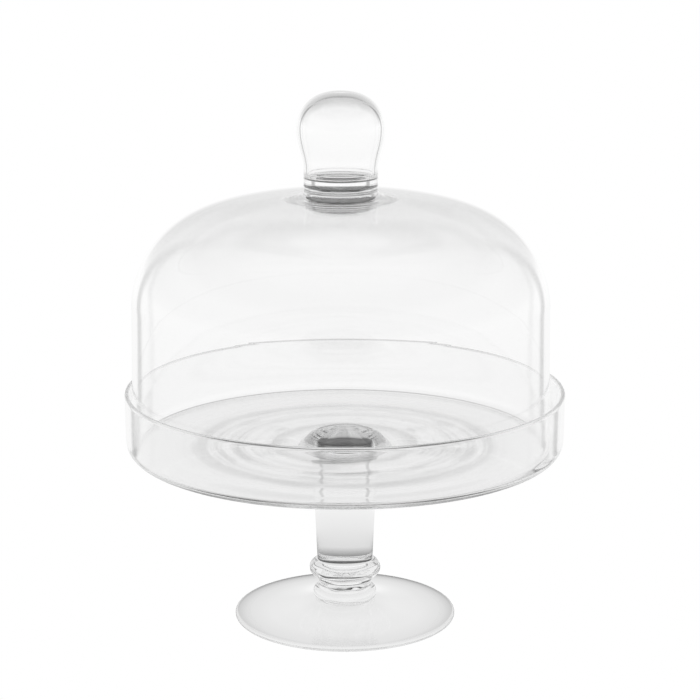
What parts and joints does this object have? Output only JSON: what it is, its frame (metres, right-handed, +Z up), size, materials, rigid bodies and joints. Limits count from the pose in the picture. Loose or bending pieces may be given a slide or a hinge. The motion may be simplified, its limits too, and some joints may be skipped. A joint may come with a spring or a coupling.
{
  "type": "domed cake stand",
  "caption": "Clear glass cake stand: straight-walled round tray on a solid stem with glass rings and a round foot, and a lift-off dome with a hollow bulb knob.",
  "frame": {"origin": "middle of the foot's underside, on the table, on the stand's axis", "axes": "+Z up along the stem's axis, towards the knob; the stand is round, so +X and +Y are free, and the dome stands a little towards -X"},
  "size_m": [0.2902, 0.2902, 0.3538],
  "materials": {
    "stand_glass": "clear, smooth, fire-polished",
    "cover_glass": "clear, thin, mouth-blown"
  },
  "bodies": {
    "stand": {"foot": "stand_glass", "lower_ring": "stand_glass", "stem_neck": "stand_glass", "upper_ring": "stand_glass", "stem": "stand_glass", "tray": "stand_glass"},
    "cover": {"dome": "cover_glass", "knob_collar": "cover_glass", "knob": "cover_glass"}
  },
  "joints": [
    {"name": "lift_cover", "type": "slide", "parent": "stand", "child": "cover", "axis": [0, 0, 1], "range_m": [0, 0.22]}
  ]
}
